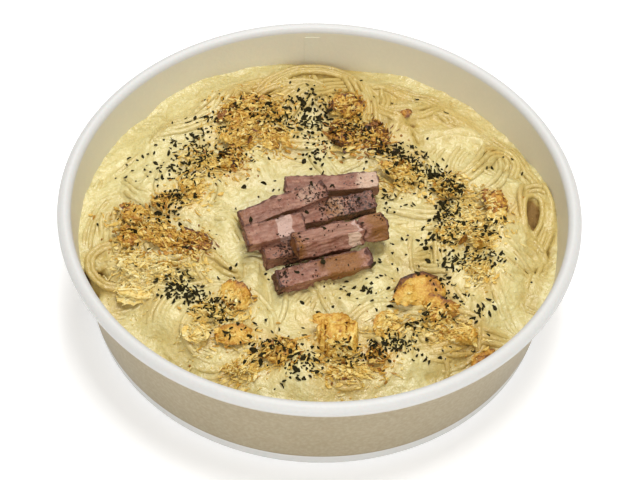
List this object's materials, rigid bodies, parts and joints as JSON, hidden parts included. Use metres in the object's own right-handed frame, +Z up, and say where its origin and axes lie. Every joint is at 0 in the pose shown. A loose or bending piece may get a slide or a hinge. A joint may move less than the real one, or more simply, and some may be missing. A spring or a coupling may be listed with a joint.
{
  "type": "spaghetti carbonara in a paper bowl",
  "caption": "Spaghetti carbonara in a round paper bowl with a rolled rim: a heap of sauced noodles, a pool of cream, stacked bacon sticks and a ring of fried crisps.",
  "frame": {"origin": "middle of the surface that the bowl stands on, under the bowl's axis", "axes": "+Z up along the bowl's axis, +Y away from the front of the dish, +X to its right"},
  "size_m": [0.185, 0.185, 0.0445],
  "materials": {
    "coated_paper": "satin",
    "noodles": "satin",
    "cream_sauce": "gloss",
    "bacon": "satin",
    "fried_crisp": "matte"
  },
  "bodies": {
    "root": {"bowl_side": "coated_paper", "bowl_base": "coated_paper", "pasta": "noodles", "cream": "cream_sauce", "bacon_1": "bacon", "bacon_2": "bacon", "bacon_3": "bacon", "bacon_4": "bacon", "bacon_5": "bacon", "bacon_6": "bacon", "bacon_7": "bacon", "crisp_01": "fried_crisp", "crisp_02": "fried_crisp", "crisp_03": "fried_crisp", "crisp_04": "fried_crisp", "crisp_05": "fried_crisp", "crisp_06": "fried_crisp", "crisp_07": "fried_crisp", "crisp_08": "fried_crisp", "crisp_09": "fried_crisp", "crisp_10": "fried_crisp", "crisp_11": "fried_crisp", "crisp_12": "fried_crisp", "crisp_13": "fried_crisp", "crisp_14": "fried_crisp", "crisp_15": "fried_crisp", "crisp_16": "fried_crisp", "crisp_17": "fried_crisp", "crisp_18": "fried_crisp", "crisp_19": "fried_crisp", "crisp_20": "fried_crisp", "crisp_21": "fried_crisp", "crisp_22": "fried_crisp", "crisp_23": "fried_crisp", "crisp_24": "fried_crisp", "crisp_25": "fried_crisp", "crisp_26": "fried_crisp", "crisp_27": "fried_crisp", "crisp_28": "fried_crisp", "crisp_29": "fried_crisp", "crisp_30": "fried_crisp", "crisp_31": "fried_crisp", "crisp_32": "fried_crisp", "crisp_33": "fried_crisp", "crisp_34": "fried_crisp", "crisp_35": "fried_crisp", "crisp_36": "fried_crisp", "crisp_block": "fried_crisp"}
  },
  "joints": []
}
